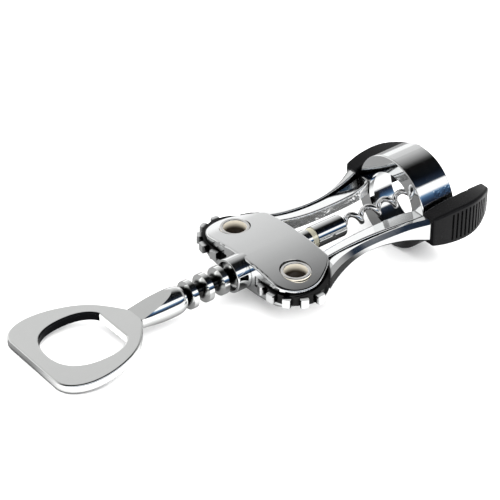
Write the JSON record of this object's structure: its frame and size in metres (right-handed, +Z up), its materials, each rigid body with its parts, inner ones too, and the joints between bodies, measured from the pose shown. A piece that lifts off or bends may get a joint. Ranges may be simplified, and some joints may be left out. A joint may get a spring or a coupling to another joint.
{
  "type": "wing corkscrew",
  "caption": "Wing corkscrew lying on its back: bell, skeleton frame, rack and pinion levers with ribbed grips, worm, and a bottle-cap opener for a handle.",
  "frame": {"origin": "under the middle of the whole length, on the spindle's axis plane, at the height of the lowest point of the bell", "axes": "X along the spindle from the bell towards the opener, Y across the two pivots with the left lever on +Y, Z up, square to the cheeks"},
  "size_m": [0.1742, 0.0578, 0.034],
  "materials": {
    "casting_chrome": "polished chrome plate on a zinc casting",
    "lever_chrome": "polished chrome plate on a zinc casting",
    "opener_chrome": "polished chrome plate on a zinc casting",
    "rivet_chrome": "bright plated steel, rolled rims",
    "ferrule_chrome": "bright plated steel",
    "worm_steel": "bright plated spring wire",
    "washer_nylon": "olive cream moulded washer",
    "grip_plastic": "fine satin moulding, ribbed thumb face"
  },
  "bodies": {
    "frame": {"frame_casting": "casting_chrome", "left_pivot_rivet": "rivet_chrome", "right_pivot_rivet": "rivet_chrome"},
    "washer": {"guide_washer": "washer_nylon"},
    "spindle": {"opener_rack": "opener_chrome", "worm_ferrule": "ferrule_chrome", "worm_pin": "ferrule_chrome", "worm": "worm_steel"},
    "left_wing": {"left_lever": "lever_chrome", "left_grip": "grip_plastic"},
    "right_wing": {"right_lever": "lever_chrome", "right_grip": "grip_plastic"}
  },
  "joints": [
    {"name": "spindle_slide", "type": "slide", "parent": "frame", "child": "washer", "axis": [-1, 0, 0], "range_m": [0, 0.025]},
    {"name": "spindle_turn", "type": "hinge", "parent": "washer", "child": "spindle", "pos_m": [-0.02325, 0, 0.017], "axis": [1, 0, 0], "continuous": true},
    {"name": "left_pivot", "type": "hinge", "parent": "frame", "child": "left_wing", "pos_m": [-0.004, 0.016, 0.017], "axis": [0, 0, 1], "range_deg": [-113, 0]},
    {"name": "right_pivot", "type": "hinge", "parent": "frame", "child": "right_wing", "pos_m": [-0.004, -0.016, 0.017], "axis": [0, 0, 1], "range_deg": [0, 113]}
  ],
  "couplings": [
    {"joint": "left_pivot", "follows": "spindle_slide", "rad_per_m": -78.589},
    {"joint": "right_pivot", "follows": "spindle_slide", "rad_per_m": 78.589}
  ]
}
